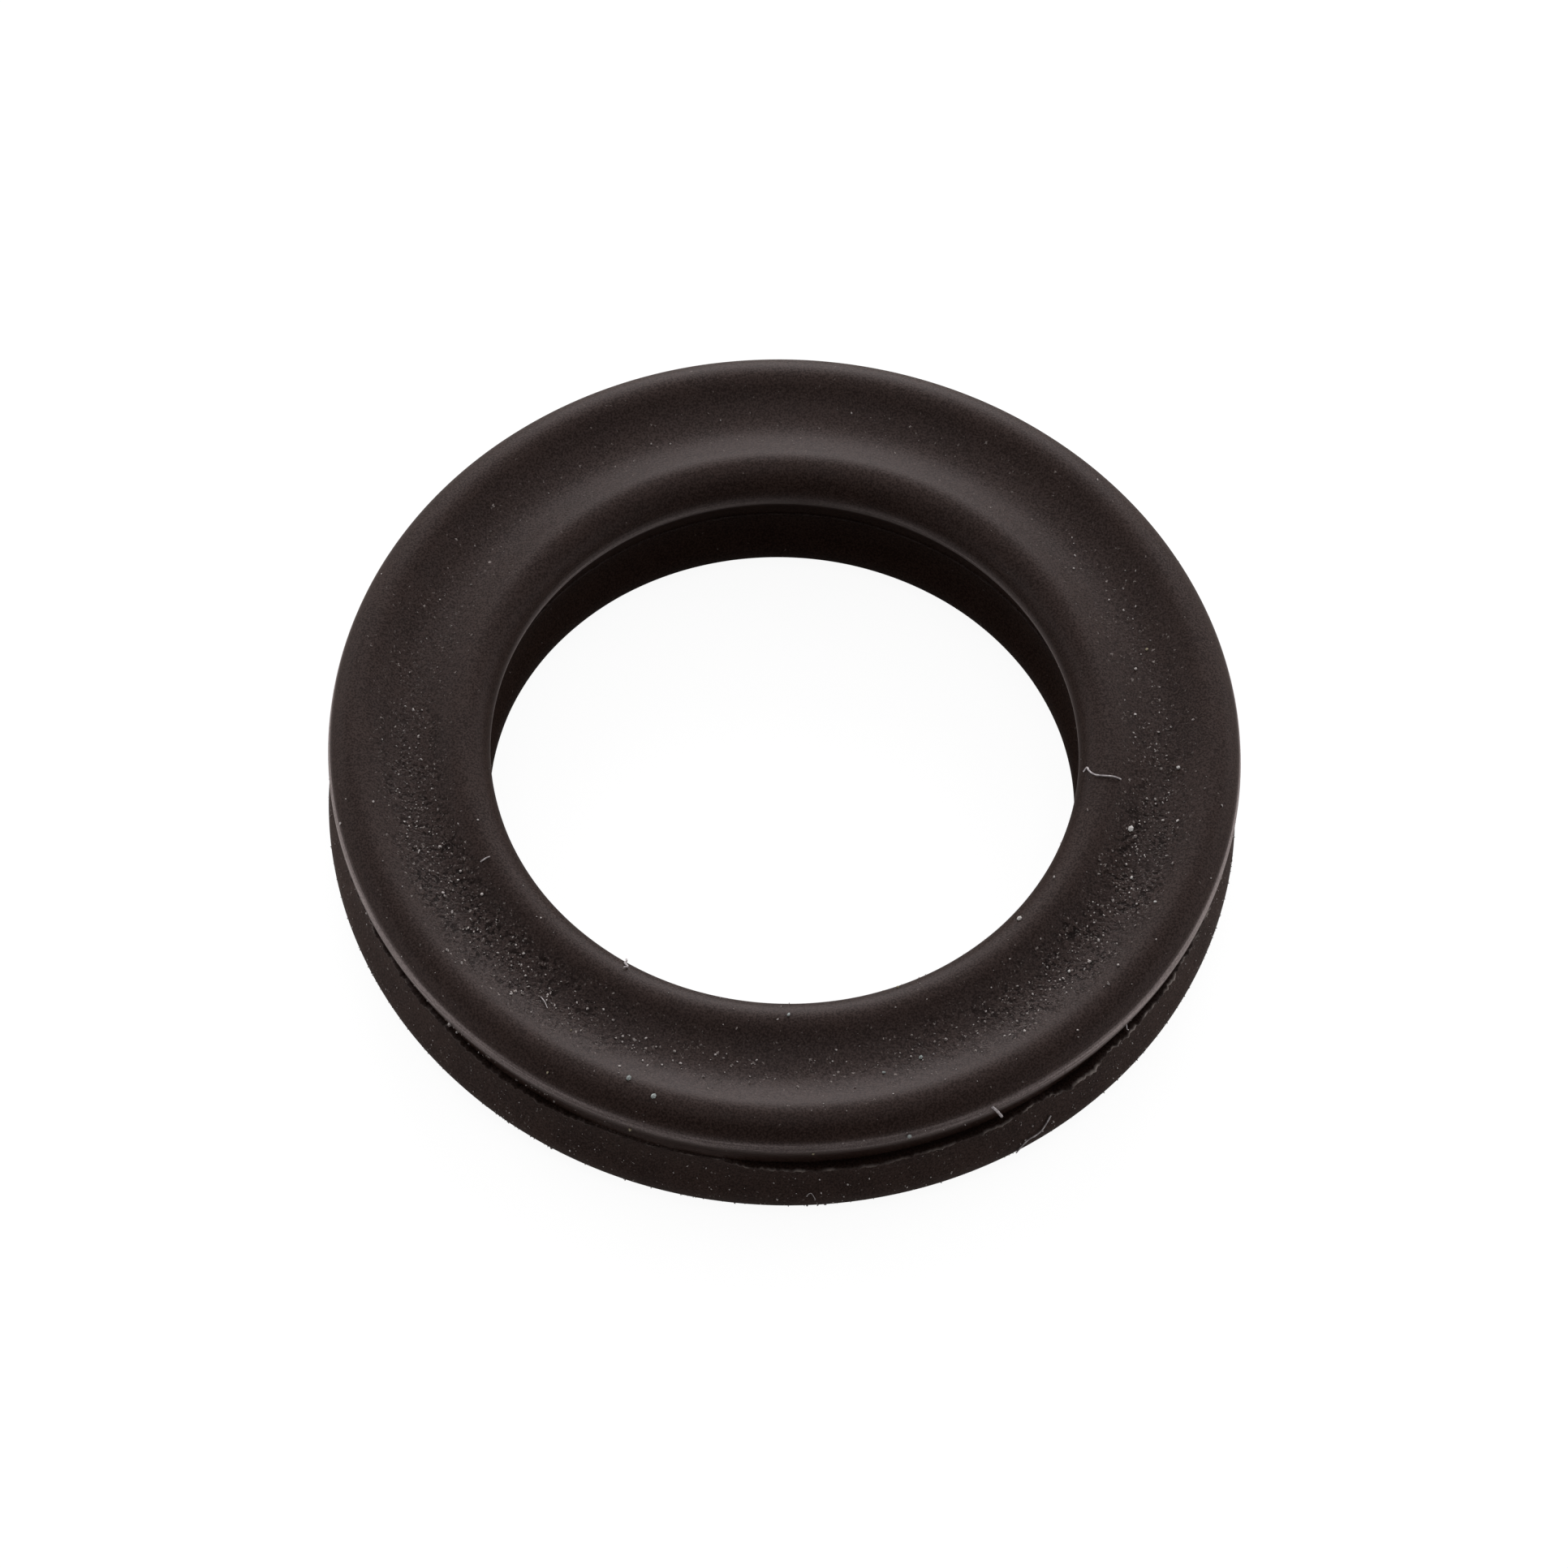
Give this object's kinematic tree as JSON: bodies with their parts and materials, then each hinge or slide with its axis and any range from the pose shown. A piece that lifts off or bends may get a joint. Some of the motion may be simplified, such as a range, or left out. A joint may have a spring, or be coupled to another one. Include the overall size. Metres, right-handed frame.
{
  "type": "quad ring seal",
  "caption": "Rubber ring seal with a four-lobed section, for sealing a rod or shaft in a housing groove.",
  "frame": {"origin": "centre of the ring on its axis, at half its height", "axes": "+Z along the ring's axis, through the top face; X and Y lie in the plane of the mould's parting line"},
  "size_m": [0.01, 0.01, 0.0018],
  "materials": {
    "seal_rubber": "matt, fine-grained brown-black nitrile rubber, dusty in the valleys"
  },
  "bodies": {
    "root": {"seal_ring": "seal_rubber"}
  },
  "joints": []
}
